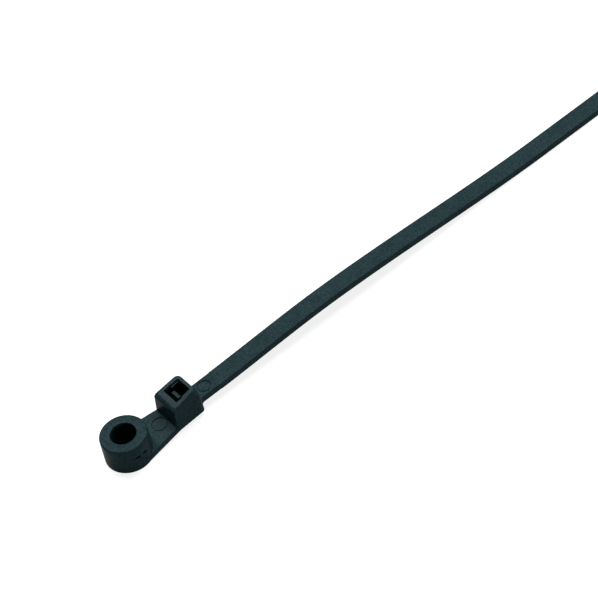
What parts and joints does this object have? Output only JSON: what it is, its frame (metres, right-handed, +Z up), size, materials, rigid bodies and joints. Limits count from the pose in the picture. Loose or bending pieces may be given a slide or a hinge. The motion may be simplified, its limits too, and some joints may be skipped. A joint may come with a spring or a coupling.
{
  "type": "screw mount cable tie",
  "caption": "Moulded nylon cable tie with a raised screw eye beside its ratchet head and a toothed strap, for fastening a cable bundle to a surface by a screw.",
  "frame": {"origin": "on the screw hole's axis, in the plane that the eye stands on", "axes": "+X along the strap from the eye to the tail, +Z up the screw hole, +Y across the strap"},
  "size_m": [0.15, 0.0084, 0.0064],
  "materials": {
    "nylon": "finely textured, as moulded"
  },
  "bodies": {
    "root": {"cable_tie": "nylon"}
  },
  "joints": []
}
